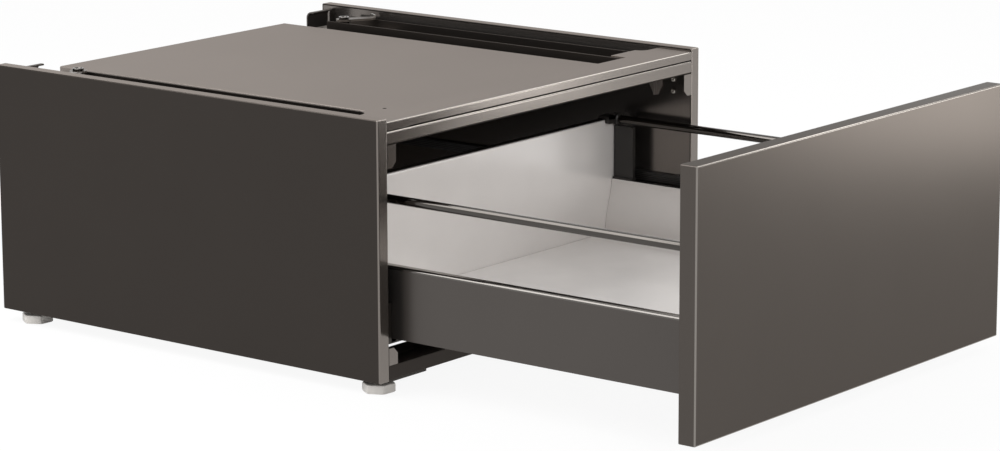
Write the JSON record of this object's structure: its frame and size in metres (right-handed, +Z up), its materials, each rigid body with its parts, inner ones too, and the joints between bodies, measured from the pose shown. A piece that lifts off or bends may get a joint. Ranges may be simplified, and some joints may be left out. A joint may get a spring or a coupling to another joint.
{
  "type": "washer pedestal drawer",
  "caption": "Low steel pedestal that raises a front-loading washer, with a full-extension drawer, side guide channels, hold-down latches and levelling feet.",
  "frame": {"origin": "bottom centre of the pedestal as it stands with its drawer open: on the floor, midway between the sides and midway from the drawer front's face to the cabinet's rear edge", "axes": "+Z up, +X to the right as seen from the front, and the drawer opens towards -Y"},
  "size_m": [0.595, 1.0006, 0.3077],
  "materials": {
    "lacquer": "warm titanium-brown semi-gloss lacquer on sheet steel",
    "lacquer_light": "the same lacquer in a lighter, glossier coat on the top parts",
    "dark_steel": "dark coated steel",
    "rail_steel": "dark polished round bar",
    "bright_steel": "bright zinc-plated steel",
    "pale_coat": "light grey satin coat",
    "dark_plastic": "near-black moulded plastic",
    "pale_plastic": "pale grey moulded plastic"
  },
  "bodies": {
    "cabinet": {"side_panel_left": "lacquer", "side_panel_right": "lacquer", "side_liner_left": "lacquer", "side_liner_right": "lacquer", "deck_plate": "lacquer_light", "top_crossbar": "lacquer_light", "front_trim": "lacquer_light", "guide_channel_left": "lacquer", "guide_channel_right": "lacquer", "top_gusset_left": "lacquer", "top_gusset_right": "lacquer", "bottom_gusset_left": "lacquer", "bottom_gusset_right": "lacquer", "bottom_crossbar": "lacquer", "rear_crossbar": "lacquer", "rear_panel": "lacquer", "foot_plate_front_left": "dark_steel", "foot_plate_front_right": "dark_steel", "foot_plate_rear_left": "dark_steel", "foot_plate_rear_right": "dark_steel", "rear_hook_left": "dark_steel", "rear_hook_right": "dark_steel", "latch_plate_left": "dark_steel", "latch_plate_right": "dark_steel", "latch_bolt_left": "bright_steel", "latch_bolt_right": "bright_steel", "stop_tab_left": "lacquer_light", "stop_tab_right": "lacquer_light", "screw_1_left": "bright_steel", "screw_1_right": "bright_steel", "screw_2_left": "bright_steel", "screw_2_right": "bright_steel", "runner_cabinet_left": "dark_steel", "runner_cabinet_right": "dark_steel", "guide_strip_left": "dark_plastic", "guide_strip_right": "dark_plastic"},
    "drawer": {"drawer_front": "lacquer", "front_backing": "lacquer", "drawer_side_left": "lacquer", "drawer_side_right": "lacquer", "drawer_floor": "pale_coat", "drawer_back": "pale_coat", "gallery_rail_left": "rail_steel", "gallery_rail_right": "rail_steel", "rear_post_left": "dark_plastic", "rear_post_right": "dark_plastic", "rear_clip_left": "dark_plastic", "rear_clip_right": "dark_plastic", "front_socket_left": "dark_plastic", "front_socket_right": "dark_plastic", "runner_drawer_left": "dark_steel", "runner_drawer_right": "dark_steel"},
    "middle_left": {"runner_middle_left": "dark_steel"},
    "middle_right": {"runner_middle_right": "dark_steel"},
    "latch_left": {"latch_arm_left": "bright_steel"},
    "latch_right": {"latch_arm_right": "bright_steel"},
    "foot_fl": {"foot_front_left": "pale_plastic"},
    "foot_fr": {"foot_front_right": "pale_plastic"},
    "foot_rl": {"foot_rear_left": "pale_plastic"},
    "foot_rr": {"foot_rear_right": "pale_plastic"}
  },
  "joints": [
    {"name": "drawer_slide", "type": "slide", "parent": "cabinet", "child": "drawer", "axis": [0, -1, 0], "range_m": [-0.3947, 0.085]},
    {"name": "middle_left_slide", "type": "slide", "parent": "cabinet", "child": "middle_left", "axis": [0, -1, 0], "range_m": [-0.1985, 0.0435]},
    {"name": "middle_right_slide", "type": "slide", "parent": "cabinet", "child": "middle_right", "axis": [0, -1, 0], "range_m": [-0.1985, 0.0435]},
    {"name": "latch_left_swing", "type": "hinge", "parent": "cabinet", "child": "latch_left", "pos_m": [-0.2375, 0.42535, 0.298], "axis": [0, 0, -1], "range_deg": [-58, 32]},
    {"name": "latch_right_swing", "type": "hinge", "parent": "cabinet", "child": "latch_right", "pos_m": [0.2375, 0.42535, 0.298], "axis": [0, 0, 1], "range_deg": [-58, 32]},
    {"name": "foot_fl_height", "type": "slide", "parent": "cabinet", "child": "foot_fl", "axis": [0, 0, -1], "range_m": [0, 0.015]},
    {"name": "foot_fr_height", "type": "slide", "parent": "cabinet", "child": "foot_fr", "axis": [0, 0, -1], "range_m": [0, 0.015]},
    {"name": "foot_rl_height", "type": "slide", "parent": "cabinet", "child": "foot_rl", "axis": [0, 0, -1], "range_m": [0, 0.015]},
    {"name": "foot_rr_height", "type": "slide", "parent": "cabinet", "child": "foot_rr", "axis": [0, 0, -1], "range_m": [0, 0.015]}
  ],
  "couplings": [
    {"joint": "middle_left_slide", "follows": "drawer_slide", "ratio": 0.5},
    {"joint": "middle_right_slide", "follows": "drawer_slide", "ratio": 0.5}
  ]
}
